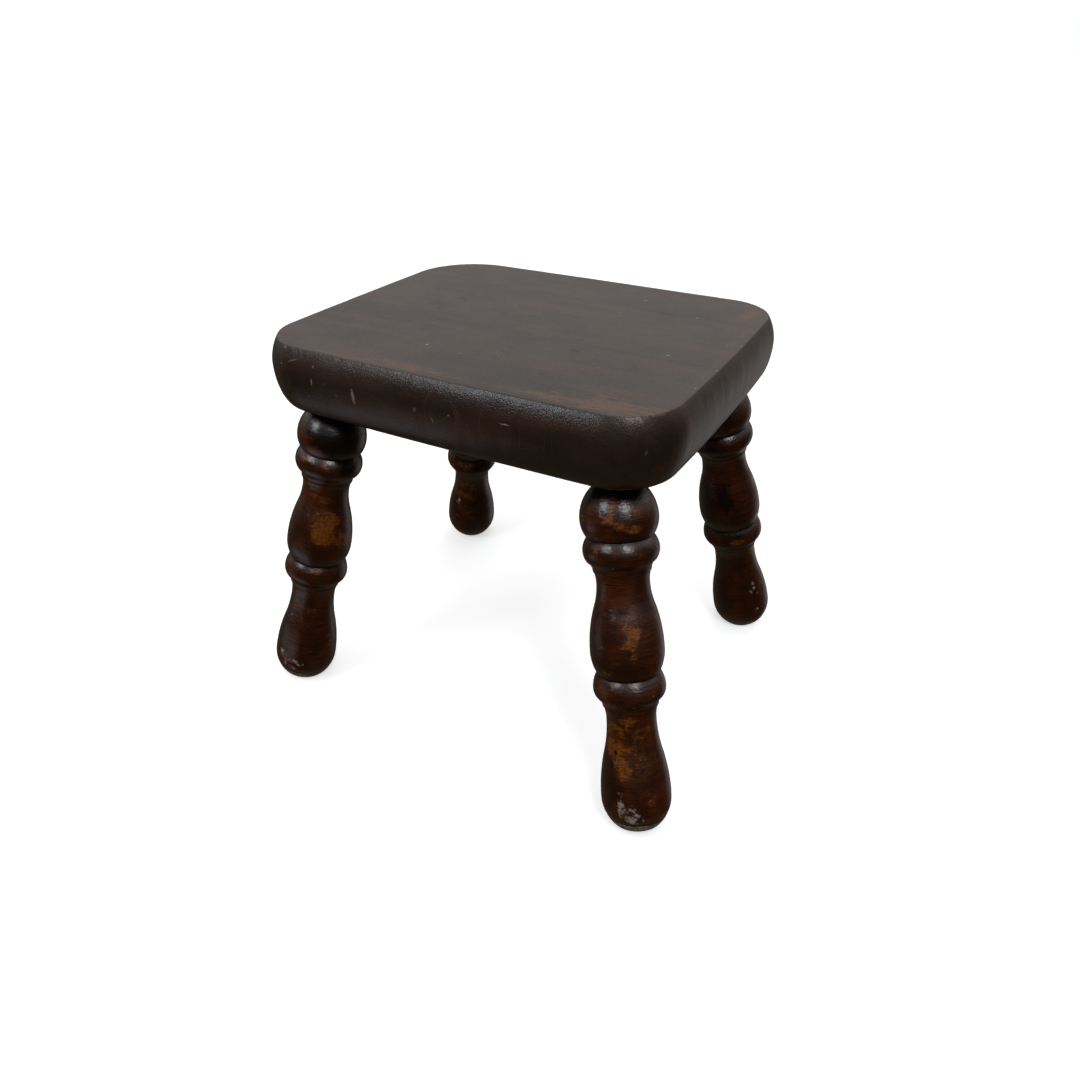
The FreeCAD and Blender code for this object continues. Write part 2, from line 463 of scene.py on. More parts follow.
def socket_cutter(name):
    """A rod the size of the leg's socket, for boring the boards."""
    joint, down = leg_axis(name)[:2]
    bm = bmesh.new()
    bmesh.ops.create_cone(bm, cap_ends=True, segments=48, radius1=SOCKET_R * MM, radius2=SOCKET_R * MM,
                          depth=(SOCKET_DEPTH + OVERRUN) * MM)
    turn = Vector((0, 0, -1)).rotation_difference(down).to_matrix().to_4x4()
    bm.transform(turn)
    middle = joint - down * (SOCKET_DEPTH - OVERRUN) / 2
    bmesh.ops.translate(bm, verts=bm.verts, vec=to_frame(*middle))
    mesh = bpy.data.meshes.new("cutter_" + name)
    bm.to_mesh(mesh)
    bm.free()
    return bpy.data.objects.new("cutter_" + name, mesh)


def bore(piece, names):
    """Cuts the sockets of the named legs out of a board, and keeps the result."""
    for name in names:
        cutter = socket_cutter(name)
        bpy.context.scene.collection.objects.link(cutter)
        tool = piece.modifiers.new("socket", "BOOLEAN")
        tool.operation = "DIFFERENCE"
        tool.solver = "EXACT"
        tool.object = cutter
        bpy.context.view_layer.update()
        bored = piece.evaluated_get(bpy.context.evaluated_depsgraph_get())
        cut = bpy.data.meshes.new_from_object(bored)
        piece.modifiers.clear()
        piece.data = cut
        bpy.data.objects.remove(cutter)


# ---------------------------------------------------------------- wear, painted point by point
# Seat: x, y, half length, half width, strength of the colour rubbed thin.
TOP_WEAR = (
    (14, -17, 17, 9, 0.75), (92, -89, 28, 9, 1.15), (66, -97, 30, 4, 0.9), (-16, -97, 30, 4.5, 1.0),
    (-66, -101, 28, 2.2, 0.9), (113, 76, 6, 15, 1.15), (121, 30, 2.5, 30, 0.6),
    (122, -30, 2.0, 40, 0.5), (-115, -40, 4, 40, 0.35), (30, 101, 60, 2.0, 0.5),
    (78, -52, 20, 12, 0.42), (-40, 60, 30, 16, 0.25),
)
# Legs: distance down, angle, half height, half width, strength of the colour worn to bare wood.
LEG_WEAR = {
    "front_right": (
        (13, 18, 6, 3.0, 0.95), (20.7, 8, 2.6, 3.4, 1.2), (25, 30, 2.4, 4.0, 1.1),
        (31, -26, 2.2, 7.0, 1.2), (27, 48, 2.0, 4.0, 0.9), (17, 55, 4.0, 5.0, 0.5),
        (22, -38, 4.5, 2.5, 0.7), (39.6, -15, 3.0, 2.4, 0.85), (36, 70, 1.2, 2.4, 0.7),
        (84, 40, 4.0, 3.0, 1.15), (79, 28, 3.5, 3.0, 0.8), (90, 28, 2.4, 5.0, 0.75),
        (96, 38, 4.0, 3.0, 0.8), (107, -12, 2.6, 6.0, 0.6), (118, -23, 5.0, 4.0, 0.7),
        (113.5, 34, 1.0, 3.0, 0.8), (137, 21, 3.0, 5.0, 0.9), (156, -12, 7.0, 5.5, 1.15),
        (165, 6, 6.0, 3.0, 1.1), (152, -34, 6.0, 4.0, 0.85), (159, 33, 12, 7.0, 0.30),
        (195.3, 1, 2.0, 1.6, 1.3), (184, 48, 6.0, 5.0, 0.6), (197, 64, 3.0, 8.0, 0.7),
        (146, 60, 9.0, 5.0, 0.25), (67, 20, 3.0, 6.0, 0.35), (92, -19, 0.8, 3.0, 0.7),
        (140, -30, 8.0, 8.0, 0.45), (143, 30, 8.0, 14.0, 0.22), (84, 30, 12.0, 9.0, 0.15),
        (166, 20, 14.0, 14.0, 0.22),
    ),
    "front_left": (
        (81, 44, 9.0, 7.0, 1.7), (90, 46, 5.0, 6.0, 1.2), (76, 66, 5.0, 5.0, 0.8),
        (91, 85, 5.0, 7.0, 1.0), (63, 36, 2.6, 6.0, 0.8), (62, 5, 2.0, 4.0, 0.6),
        (12, 49, 2.6, 5.0, 0.8), (37, -13, 3.0, 5.0, 0.85), (38, 38, 3.0, 7.0, 0.55),
        (115, 30, 2.0, 9.0, 0.65), (139, 54, 4.0, 3.0, 0.75), (150, 44, 2.6, 5.0, 0.8),
        (148, 12, 3.0, 3.0, 0.6), (175, 86, 7.0, 4.0, 0.8), (195.6, -7, 1.6, 2.0, 1.2),
        (199, 40, 1.5, 12, 0.6),
    ),
    "rear_right": (
        (120, 29, 2.6, 5.0, 0.95), (37, 45, 2.4, 7.0, 0.7), (175, 78, 12, 3.5, 0.6),
        (137, 70, 5.0, 4.0, 0.6), (97, 75, 5.0, 4.0, 0.35), (28, 40, 3.0, 9.0, 0.35),
    ),
    "rear_left": (
        (117, 22, 3.0, 7.0, 1.1), (120, -20, 3.0, 6.0, 0.6), (157, 14, 3.0, 8.0, 0.60),
        (150, -5, 12.0, 12.0, 0.42), (174, 20, 18, 16, 0.36), (145, 40, 12, 12, 0.32),
        (187, -20, 9.0, 9.0, 0.35), (90, 20, 20, 12, 0.45),
    ),
}
# Legs: pale scuffs and bruises, in the same terms. The thin marks at 47.9 and 127.4 down, along the feet
# of the beads, are partly wear and partly a painted highlight on the step's lip.
LEG_SCUFF_AND_HIGHLIGHT = {
    "front_right": (
        (186.4, -1, 4.5, 1.8, 1.3), (181, 3, 1.2, 3.5, 0.8), (196, 20, 3.0, 6.0, 0.8),
        (189, 24, 4.0, 1.4, 0.75), (194, 10, 6.0, 5.0, 0.4), (135.8, 52, 0.8, 0.8, 1.3),
        (121, 63, 1.6, 0.6, 1.1), (47.9, 20, 0.7, 5.0, 1.1), (127.4, 10, 0.7, 4.0, 1.0),
        (127.4, 36, 0.7, 4.0, 1.1), (103, 55, 0.6, 0.6, 1.0), (190, 12, 9.0, 7.0, 0.35),
    ),
    "front_left": (
        (187, -14, 3.5, 3.0, 1.0), (190.5, 22, 2.0, 5.0, 1.0), (196, 3, 2.5, 6.0, 0.8),
        (157.5, -14, 1.0, 0.8, 1.1), (180, 46, 0.8, 1.2, 1.0), (127.4, 30, 0.7, 3.0, 0.9),
        (47.9, 20, 0.7, 3.0, 0.9), (190, 0, 8.0, 9.0, 0.3),
    ),
    "rear_right": (
        (167, 57, 3.4, 1.3, 1.1), (171, 47, 1.6, 1.2, 1.0), (174, 62, 1.4, 1.2, 0.9),
        (190, 55, 3.0, 1.4, 1.1), (189, 68, 1.4, 2.4, 0.8), (127.4, 30, 0.7, 3.0, 0.9),
    ),
    "rear_left": (
        (164, -8, 3.6, 2.2, 1.2),
    ),
}
# Legs: old dark varnish that gathered and ran, in the same terms. On the balls, just under the seat, the
# dark is partly painted shade.
LEG_DARK_AND_SHADE = {
    "front_right": (
        (5, 62, 10.0, 10.0, 1.2), (6, -45, 11.0, 8.0, 1.1), (4, 5, 7.0, 24, 1.0),
        (164.7, -21, 1.5, 1.4, 1.8), (157.5, -13, 1.2, 1.0, 1.6), (27, 20, 4.0, 4.0, 0.5),
    ),
    "front_left": (
        (18, 75, 18, 16, 1.3), (8, 0, 12.0, 14, 1.0), (24, 30, 6.0, 12, 0.5),
        (40, 80, 6.0, 8.0, 0.8), (5, 40, 5.0, 20, 0.8),
    ),
    "rear_right": (
        (84, 12, 16, 8.0, 0.7), (44, 0, 5.0, 12, 0.8), (116, 25, 1.5, 6.0, 0.9),
        (10, 30, 9.0, 20, 0.6), (198, 30, 4.0, 20, 0.5),
    ),
    "rear_left": (
        (119, 52, 4.5, 6.0, 1.2), (195, 25, 5.0, 8.0, 1.0), (112, 0, 2.0, 12, 0.6),
        (165, -8, 2.0, 1.0, 0.8),
    ),
}
# Small marks on the seat: x, y, z, half length, half width, turn in degrees from the level, strength.
DARK_MARKS = {
    "top": (
        (47, -33, 245, 3.6, 0.8, -6, 1.0), (69, 53.5, 245, 6.0, 0.6, 0, 1.3),
        (-63, 20.5, 245, 2.2, 0.9, 10, 1.6), (-63, -5, 245, 1.3, 0.9, 0, 1.3),
        (-87, 16, 245, 1.0, 0.8, 0, 1.5), (-79, -39, 245, 1.3, 0.7, 20, 1.2),
        (13, -45, 245, 0.8, 0.7, 0, 0.9), (12.4, -53, 245, 0.7, 0.7, 0, 0.7),
        (13.2, -61, 245, 0.8, 0.6, 0, 0.8), (13, -70, 245, 0.8, 0.6, 0, 0.7),
        (48, -72, 245, 1.2, 0.9, 0, 1.0), (30, 66, 245, 1.6, 0.6, 30, 0.9),
        (-20, 84, 245, 2.2, 0.6, -15, 0.8),
    ),
}
PALE_MARKS = {
    "top": (
        (-30, -64, 245, 0.8, 0.7, 0, 1.6), (45, 73, 245, 0.7, 0.8, 0, 1.5),
        (43, 54, 245, 0.6, 0.6, 0, 0.9), (87, 54, 245, 0.7, 0.8, 0, 1.4),
        (41, 42, 245, 0.6, 0.6, 0, 0.8), (95, -15, 245, 0.9, 0.6, 20, 1.3),
        (-6, -67, 245, 0.7, 0.5, 0, 0.5), (118, 15, 245, 0.9, 0.5, 60, 0.6),
        (-88, 68, 245, 0.6, 0.5, 0, 0.4), (70, -50, 245, 0.6, 0.5, 0, 0.5),
        (113.2, -97, 244.8, 1.8, 0.8, 10, 0.35), (124, -52, 244.6, 1.6, 0.5, 80, 0.6),
        (125.6, -24, 244.6, 1.4, 0.5, 80, 0.6), (125.8, 18, 244.6, 1.2, 0.5, 85, 0.5),
    ),
    "front": (
        (-78.2, -109, 228.5, 2.0, 0.55, 84, 0.7), (-48.6, -110, 226.0, 3.9, 0.95, 94, 0.75),
        (-7.1, -110, 227.7, 1.2, 0.8, 40, 0.30), (3.6, -110, 224.4, 2.7, 0.34, -76, 0.5),
        (47.0, -110, 231.2, 2.9, 0.40, 2, 0.8), (4.7, -107, 209.2, 2.6, 0.30, -10, 0.35),
        (14.2, -110, 229.0, 0.6, 0.5, 0, 0.5), (-99.8, -103, 243.7, 0.7, 0.6, 0, 0.8),
        (-92.2, -107, 238.3, 3.4, 0.28, 20, 0.42), (-101.2, -107, 235.0, 0.7, 0.5, 0, 0.7),
        (-76.6, -108, 237.5, 0.7, 0.5, 0, 0.6), (-82.3, -108, 219.8, 0.6, 0.4, 0, 0.4),
        (-60.9, -109, 224.2, 0.6, 0.4, 0, 0.4), (-69.0, -109, 229.4, 0.5, 0.4, 0, 0.3),
        (118.3, -99, 228.0, 1.2, 0.4, 80, 0.20),
    ),
}
MARK_REACH = 2.2            # millimetres round each mark in which points know of it
MARK_SEARCH = 9.0           # points further from a mark's middle than this are not tried


def store(mesh, name, values, kind="FLOAT"):
    """Stores a value for each point of a mesh, for its material to read."""
    field = "value" if kind == "FLOAT" else "vector"
    mesh.attributes.new(name, kind, "POINT").data.foreach_set(field, values)


def seat_wear(v):
    """Colour rubbed thin on the top, and only just over its edge."""
    x, y, z = from_frame(v.co)
    rubbed = sum(k * fade(x, px, hx) * fade(y, py, hy) for px, py, hx, hy, k in TOP_WEAR)
    return fade(z, HEIGHT, 2.2) * rubbed


def seat_edge(v):
    """Nearness to the middle of the seat's rounded top edge."""
    tilt = abs(v.normal.z)
    return fade(v.co.z / MM, HEIGHT - 0.5, 1.1) * max(0.0, 1 - ((tilt - 0.85) / 0.16) ** 2)


def seat_seam(v):
    """The dirt in the joints between boards, which comes and goes along them."""
    x, y, _ = from_frame(v.co)
    dirt = 0.75 + 0.45 * wobble(x, y, 0, 24, 4.4)
    lines = (depth / SEAM_DEPTHS[0] * fade(y, at, DIRT_REACH) for at, depth in zip(SEAMS, SEAM_DEPTHS))
    return dirt * sum(lines)


def mark_field(mesh, name, marks):
    """Stores each point's place in the oval of its nearest mark: along, across, 1 where one is near."""
    ovals = []
    for face, rows in marks.items():
        for x, y, z, length, width, turn, strength in rows:
            c, s = math.cos(math.radians(turn)), math.sin(math.radians(turn))
            along, across = ((c, s, 0), (-s, c, 0)) if face == "top" else ((c, 0, s), (-s, 0, c))
            axes = (Vector(along) / MM, Vector(across) / MM)
            ovals.append((to_frame(x, y, z), axes, length, width, strength))
    values, strengths = [], []
    for v in mesh.vertices:
        best = (0.0, 0.0, 0.0)
        least, strongest = MARK_REACH, 0.0
        for at, (along, across), length, width, strength in ovals:
            gap = v.co - at
            if gap.length < MARK_SEARCH * MM:
                p, q = gap.dot(along), gap.dot(across)
                outside = math.hypot(max(0.0, abs(p) - length), max(0.0, abs(q) - width))
                if outside < least:
                    least, strongest, best = outside, strength, (p / length, q / width, 1.0)
        values += best
        strengths.append(strongest)
    store(mesh, name, values, "FLOAT_VECTOR")
    store(mesh, name + "_strength", strengths)


def leg_patches(patches):
    """Sum of soft oval patches, as a rule for a point's place on the lathe."""
    def value(t):
        s, angle = t.vector.z / MM, math.degrees(math.atan2(t.vector.y, t.vector.x))
        r = math.hypot(t.vector.x, t.vector.y) / MM
        total = 0.0
        for at, turn, half_s, half_a, strength in patches:
            across = math.radians(degrees_apart(angle, turn)) * r
            total += strength * fade(s, at, half_s) * fade(across, 0, half_a)
        return total
    return value


def leg_grime_and_shade(name):
    """Dirt and dark varnish in the grooves, just below the beads and round the worn end. At the joint with
    the seat and on the balls below it, the dark is partly painted shade.
    """
    patches = leg_patches(LEG_DARK_AND_SHADE[name])

    def value(t):
        s = t.vector.z / MM
        dark = fade(s, 2, 5.0) + 0.9 * fade(s, FOOT_LINE, LINE_REACH)
        for part in (UPPER, LOWER):
            dark += fade(s, part["groove"][0], 0.9)
            dark += 0.7 * fade(s, part["bead_foot"][0] + 1.6, 0.8)
        return min(1.5, dark + patches(t))
    return value


def leg_scuffs_and_painted_light(name):
    """Scuffs, and the rim of the end below its worn line: pale wear, made paler still as painted light
    bounced up from the floor.
    """
    patches = leg_patches(LEG_SCUFF_AND_HIGHLIGHT[name])

    def value(t):
        below_line = (t.vector.z / MM - FOOT_LINE) / LINE_REACH - 1
        # The rim's pale wear is made stronger here as painted bounce light from the floor.
        return patches(t) + 1.9 * min(1.0, max(0.0, below_line))
    return value


# ---------------------------------------------------------------- materials
class Tree:
    """A small hand for wiring nodes."""

    def __init__(self, node_tree):
        self.nodes = node_tree.nodes
        self.links = node_tree.links

    def add(self, kind, inputs=None, **settings):
        node = self.nodes.new(kind)
        for key, value in settings.items():
            setattr(node, key, value)
        for key, value in (inputs or {}).items():
            self.feed(node.inputs[key], value)
        return node

    def feed(self, socket, value):
        if isinstance(value, bpy.types.NodeSocket):
            self.links.new(value, socket)
        else:
            socket.default_value = value

    def maths(self, operation, a, b=0.0, clamp=False):
        return self.add("ShaderNodeMath", {0: a, 1: b}, operation=operation, use_clamp=clamp).outputs[0]

    def vector(self, operation, a, b=(0, 0, 0), output="Vector"):
        return self.add("ShaderNodeVectorMath", {0: a, 1: b}, operation=operation).outputs[output]

    def total(self, first, *parts):
        """A value plus some others, each times its weight."""
        for value, weight in parts:
            first = self.maths("ADD", first, self.maths("MULTIPLY", value, weight))
        return first

    def smooth(self, value, low, high):
        node = self.add("ShaderNodeMapRange", {"Value": value, "From Min": low, "From Max": high},
                        interpolation_type="SMOOTHSTEP")
        return node.outputs["Result"]

    def mix(self, share, a, b, **settings):
        node = self.add("ShaderNodeMix", data_type="RGBA", **settings)
        self.feed(node.inputs[0], share)
        self.feed(node.inputs[6], a)
        self.feed(node.inputs[7], b)
        return node.outputs[2]


class Surface(Tree):
    """The nodes of a new material, with what wood needs."""

    def __init__(self, name):
        self.material = bpy.data.materials.new(name)
        self.material.use_nodes = True
        super().__init__(self.material.node_tree)
        self.shader = self.nodes["Principled BSDF"]

    def set(self, name, value):
        self.feed(self.shader.inputs[name], value)

    def read(self, name, kind="Fac"):
        """A value that is stored on the mesh."""
        return self.add("ShaderNodeAttribute", attribute_name=name).outputs[kind]

    def stretch(self, vector, scale):
        return self.add("ShaderNodeMapping", {"Vector": vector, "Scale": scale}).outputs["Vector"]

    def noise(self, vector, scale, detail=3.0, rough=0.5, distort=0.0):
        node = self.add("ShaderNodeTexNoise", {"Vector": vector, "Scale": scale, "Detail": detail,
                                               "Roughness": rough, "Distortion": distort})
        return node.outputs["Fac"]

    def spread(self, value):
        """A noise stretched to use nearly the whole of 0 to 1."""
        return self.smooth(value, 0.38, 0.62)

    def off(self, value, amount):
        """A noise as a push to either side of nothing."""
        return self.maths("MULTIPLY", self.maths("SUBTRACT", value, 0.5), amount)

    def ragged(self, name, push):
        """A painted value with its edges pushed about. Where none is painted, nothing is pushed."""
        value = self.read(name)
        push = self.maths("MULTIPLY", push, self.smooth(value, 0.02, 0.45))
        return self.maths("ADD", value, push)

    def over(self, colour, coat, share, strength):
        """A colour with a coat of another laid on it."""
        return self.mix(self.maths("MULTIPLY", share, strength), colour, coat)

    def marks(self, name, ragged):
        """1 inside the small marks that mark_field stored under this name, 0 elsewhere."""
        field = self.read(name, "Vector")
        near = self.add("ShaderNodeSeparateXYZ", {0: field}).outputs["Z"]
        reach = self.vector("LENGTH", self.vector("MULTIPLY", field, (1, 1, 0)), output="Value")
        inside = self.smooth(self.maths("ADD", reach, ragged), 1.25, 0.75)
        inside = self.maths("MULTIPLY", inside, self.smooth(near, 0.85, 0.95))
        return self.maths("MULTIPLY", inside, self.read(name + "_strength"), clamp=True)

    def relief(self, height, depth):
        """Roughens the surface by bump, depth metres at most."""
        bump = self.add("ShaderNodeBump", {"Height": height, "Strength": 1.0, "Distance": depth})
        self.set("Normal", bump.outputs["Normal"])


def rgb(r, g, b):
    return (r, g, b, 1.0)


STAIN = rgb(0.037, 0.0190, 0.0118)
STAIN_DARK = rgb(0.018, 0.0105, 0.0072)
STAIN_RED = rgb(0.068, 0.0255, 0.0140)
STAIN_THIN = rgb(0.110, 0.0500, 0.0270)
RAW_PALE = rgb(0.40, 0.39, 0.38)
BLACK = rgb(0.004, 0.003, 0.0022)
VARNISH = rgb(0.030, 0.0080, 0.0028)
VARNISH_DARK = rgb(0.0100, 0.0032, 0.0018)
VARNISH_RED = rgb(0.074, 0.0155, 0.0042)
AMBER_DEEP = rgb(0.105, 0.0270, 0.0030)
AMBER = rgb(0.230, 0.0700, 0.0065)
# Pale scuff colour, also used for painted bounce light on the foot's rim and painted highlights along the
# beads' feet.
SCUFF_AND_PAINTED_LIGHT = rgb(0.42, 0.39, 0.34)
WHITE = rgb(1, 1, 1)

# Fine scratches in the top: which way each set runs, in degrees, and how close together.
SCRATCHES = ((14, 520.0), (-31, 430.0), (68, 480.0))


def seat_material():
    t = Surface("stained_wood")
    place = t.add("ShaderNodeTexCoord").outputs["Object"]
    along = t.noise(t.stretch(place, (9.0, 95.0, 60.0)), 4.0, 6.0, 0.62, 0.6)
    streak = t.noise(t.stretch(place, (3.0, 26.0, 20.0)), 3.0, 3.0, 0.5, 0.3)
    cloud = t.noise(place, 13.0, 4.0, 0.6)
    blotch = t.noise(place, 60.0, 5.0, 0.65)
    speckle = t.noise(place, 420.0, 3.0, 0.7)
    scratch = t.noise(t.stretch(place, (16.0, 150.0, 110.0)), 4.0, 5.0, 0.65, 0.4)
    peel = t.noise(place, 1200.0, 2.0, 0.5)
    ripple = t.noise(t.stretch(place, (60.0, 60.0, 14.0)), 1.0, 3.0, 0.55, 0.4)
    smear = t.noise(t.stretch(place, (16.0, 30.0, 9.0)), 3.0, 4.0, 0.6, 0.8)
    lines = 0.0
    for turn, across in SCRATCHES:
        spun = t.add("ShaderNodeVectorRotate", {"Vector": place, "Angle": math.radians(turn)},
                     rotation_type="Z_AXIS").outputs[0]
        fine = t.noise(t.stretch(spun, (7.0, across, 7.0)), 2.0, 1.0, 0.5, 0.15)
        lines = t.maths("MAXIMUM", t.smooth(fine, 0.70, 0.76), lines)
    lines = t.maths("MULTIPLY", lines, t.smooth(cloud, 0.42, 0.62))

    colour = t.mix(t.spread(cloud), STAIN, STAIN_DARK)
    colour = t.over(colour, STAIN_RED, t.smooth(streak, 0.48, 0.68), 0.45)
    colour = t.over(colour, STAIN_DARK, t.smooth(along, 0.46, 0.68), 0.45)
    colour = t.over(colour, STAIN_DARK, t.smooth(speckle, 0.5, 0.75), 0.35)
    colour = t.over(colour, STAIN_THIN, lines, 0.30)

    push = t.maths("ADD", t.off(t.spread(scratch), 0.95), t.off(t.spread(blotch), 0.6))
    push = t.maths("ADD", push, t.off(t.spread(speckle), 0.4))
    thin = t.smooth(t.ragged("wear", push), 0.50, 1.05)
    colour = t.over(colour, STAIN_THIN, thin, 0.80)

    rubbed = t.maths("ADD", t.maths("ADD", t.read("edge"), t.off(blotch, 1.8)), t.off(scratch, 1.2))
    colour = t.over(colour, STAIN_THIN, t.smooth(rubbed, 0.55, 1.0), 0.5)

    uneven = t.maths("ADD", t.off(blotch, 1.6), t.off(peel, 2.2))
    dents = t.marks("dark", uneven)
    colour = t.over(colour, BLACK, dents, 0.9)
    pale = t.maths("MULTIPLY", t.marks("pale", uneven), 0.55)
    colour = t.mix(pale, colour, RAW_PALE)
    t.set("Base Color", t.over(colour, BLACK, t.read("seam"), 0.85))

    rough = t.add("ShaderNodeMapRange", {"Value": smear, "From Min": 0.3, "From Max": 0.7,
                                         "To Min": 0.28, "To Max": 0.34}).outputs["Result"]
    t.set("Roughness", t.total(rough, (thin, 0.10), (pale, 0.30)))
    t.relief(t.total(0.0, (along, 0.10), (peel, 0.46), (blotch, 0.14), (ripple, 1.7), (lines, -0.12),
                     (t.maths("MAXIMUM", pale, dents), -0.3)), 0.00035)
    t.set("IOR", 1.5)
    return t.material


def leg_material():
    t = Surface("varnished_wood")
    place = t.read("turned", "Vector")
    rings = t.noise(t.stretch(place, (14.0, 14.0, 210.0)), 3.0, 5.0, 0.6, 0.4)
    hatch = t.noise(t.stretch(place, (75.0, 75.0, 620.0)), 3.0, 4.0, 0.6, 0.6)
    grain = t.noise(t.stretch(place, (260.0, 260.0, 30.0)), 3.0, 4.0, 0.65, 0.8)
    cloud = t.noise(place, 42.0, 4.0, 0.6)
    blotch = t.noise(place, 150.0, 5.0, 0.65)
    fine = t.noise(place, 450.0, 4.0, 0.65)
    crackle = t.noise(place, 1300.0, 2.0, 0.5)

    colour = t.mix(t.spread(cloud), VARNISH, VARNISH_RED)
    colour = t.over(colour, VARNISH_DARK, t.smooth(rings, 0.45, 0.70), 0.6)
    colour = t.over(colour, VARNISH_DARK, t.smooth(hatch, 0.46, 0.66), 0.6)

    push = t.maths("ADD", t.off(t.spread(hatch), 0.55), t.off(t.spread(blotch), 0.70))
    worn = t.ragged("wear", t.maths("ADD", push, t.off(t.spread(fine), 0.30)))
    colour = t.over(colour, AMBER_DEEP, t.smooth(worn, 0.05, 0.75), 0.50)
    bare = t.smooth(worn, 0.60, 1.10)
    stripes = t.total(0.0, (t.spread(grain), 0.5), (t.spread(hatch), 0.5))
    amber = t.mix(t.smooth(stripes, 0.15, 0.85), AMBER_DEEP, AMBER)
    colour = t.over(colour, amber, bare, 0.90)

    # Dark varnish and dirt, with painted shade at the joint with the seat and on the balls under it.
    push = t.maths("ADD", t.off(t.spread(blotch), 0.35), t.off(t.spread(grain), 0.25))
    grime_and_shade = t.smooth(t.ragged("grime_and_shade", push), 0.30, 0.75)
    colour = t.over(colour, BLACK, grime_and_shade, 0.94)

    # Pale scuffs and worn rim, with painted bounce light on the foot's rim and painted highlights along
    # the feet of the beads.
    push = t.maths("ADD", t.off(t.spread(blotch), 0.8), t.off(t.spread(fine), 0.7))
    scuff_and_painted_light = t.smooth(t.ragged("scuff_and_painted_light", push), 0.45, 1.60)
    t.set("Base Color", t.over(colour, SCUFF_AND_PAINTED_LIGHT, scuff_and_painted_light, t.total(0.20, (t.spread(fine), 0.65))))

    t.set("Roughness", t.total(0.08, (t.spread(cloud), 0.06), (scuff_and_painted_light, 0.35), (bare, 0.08), (grime_and_shade, -0.05)))
    t.relief(t.total(0.0, (rings, 0.36), (blotch, 0.40), (hatch, 0.14), (fine, 0.42), (crackle, 0.30),
                     (t.maths("MAXIMUM", bare, scuff_and_painted_light), -0.12)), 0.0004)
    t.set("IOR", 1.6)
    return t.material


# ---------------------------------------------------------------- the pieces
OUTSIDE = 200.0             # beyond the seat, so nothing is cut there
REAR_LEGS = ("rear_right", "rear_left")
# Which legs' sockets reach into each board.
SOCKETS = {"front": ("front_right", "front_left"), "middle": REAR_LEGS, "rear": REAR_LEGS}


def show(name, mesh, material):
    piece = bpy.data.objects.new(name, mesh)
    bpy.context.scene.collection.objects.link(piece)
    mesh.materials.append(material)
    return piece


def finish_piece(piece, node, sharp):
    piece.data.shade_smooth()
    piece.data.set_sharp_from_angle(angle=math.radians(sharp))
    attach(piece, "root")
    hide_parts(node)


def make_seat():
    whole = seat_mesh()
    look = seat_material()
    cuts = (-OUTSIDE,) + SEAMS + (OUTSIDE,)
    for name, low, high in zip(("front", "middle", "rear"), cuts, cuts[1:]):
        piece = show("board_" + name, keep_between(whole, low, high), look)
        bore(piece, SOCKETS[name])
        mesh = piece.data
        for layer, rule in (("wear", seat_wear), ("edge", seat_edge), ("seam", seat_seam)):
            store(mesh, layer, [rule(v) for v in mesh.vertices])
        mark_field(mesh, "dark", DARK_MARKS)
        mark_field(mesh, "pale", PALE_MARKS)
        finish_piece(piece, "seat_board_" + name, 50)


def make_legs():
    look = leg_material()
    for name in LEGS:
        piece = show("turned_leg_" + name, leg_mesh(name), look)
        mesh = piece.data
        rules = {"wear": leg_patches(LEG_WEAR[name]), "scuff_and_painted_light": leg_scuffs_and_painted_light(name), "grime_and_shade": leg_grime_and_shade(name)}
        for layer, rule in rules.items():
            store(mesh, layer, [rule(t) for t in mesh.attributes["turned"].data])
        finish_piece(piece, "leg_" + name, 40)


make_seat()
make_legs()

# ---------------------------------------------------------------- stage, light and camera
FLOOR_HALF = 12.0
FLOOR_GLOW = 0.55
CAMERA_AZIMUTH, CAMERA_ELEVATION, CAMERA_DISTANCE = 28.94, 32.87, 559.1
CAMERA_AIM = Vector((7.4, -5.7, 96.7))
LENS, SENSOR = 27.04, 36.0

# The room's brightness at each elevation in degrees: on the camera's side of the stool, and behind it.
NEAR_WALL = (
    (-90, (0.12, 0.090, 0.060)), (-50, (0.045, 0.032, 0.018)), (-25, (0.018, 0.012, 0.007)),
    (0, (0.030, 0.024, 0.020)), (14, (0.055, 0.051, 0.048)), (32, (0.36, 0.36, 0.37)),
    (60, (0.66, 0.67, 0.69)),
)
FAR_WALL = (
    (-90, (0.12, 0.090, 0.060)), (-45, (0.065, 0.055, 0.040)), (-20, (0.075, 0.065, 0.052)),
    (-2, (0.12, 0.11, 0.10)), (8, (0.32, 0.31, 0.30)), (20, (0.745, 0.716, 0.708)),
    (45, (0.66, 0.655, 0.65)),
)
WALL_BLEND = (-0.35, 0.55)  # where one side gives way to the other, as cosines from straight behind
# A cool shine low behind the stool to its right: where it lies, its half angles, its colour.
LOW_SHINE = (163, -24, (8, 27), (0.255, 0.258, 0.268))

# Tall soft lights: azimuth, elevation, width, height, power, turn in degrees.
WINDOWS = {
    "window_left": (-33, 39, 0.26, 0.85, 6.8, 38),
    "window_right": (47, 50, 0.32, 0.80, 8.5, 0),
    "window_back": (190, 62, 0.80, 0.80, 3.5, 0),
}
WINDOW_AIM, WINDOW_DISTANCE = Vector((0, 0, 0.15)), 1.8
WINDOW_COLOUR = (0.94, 0.97, 1.0)
# A weak glow that lies on the floor at the left and faces up: place, width, height, power, colour.
FLOOR_SHEEN = (Vector((-0.24, -0.25, 0.002)), 0.22, 0.16, 0.048, (0.95, 0.93, 1.0))


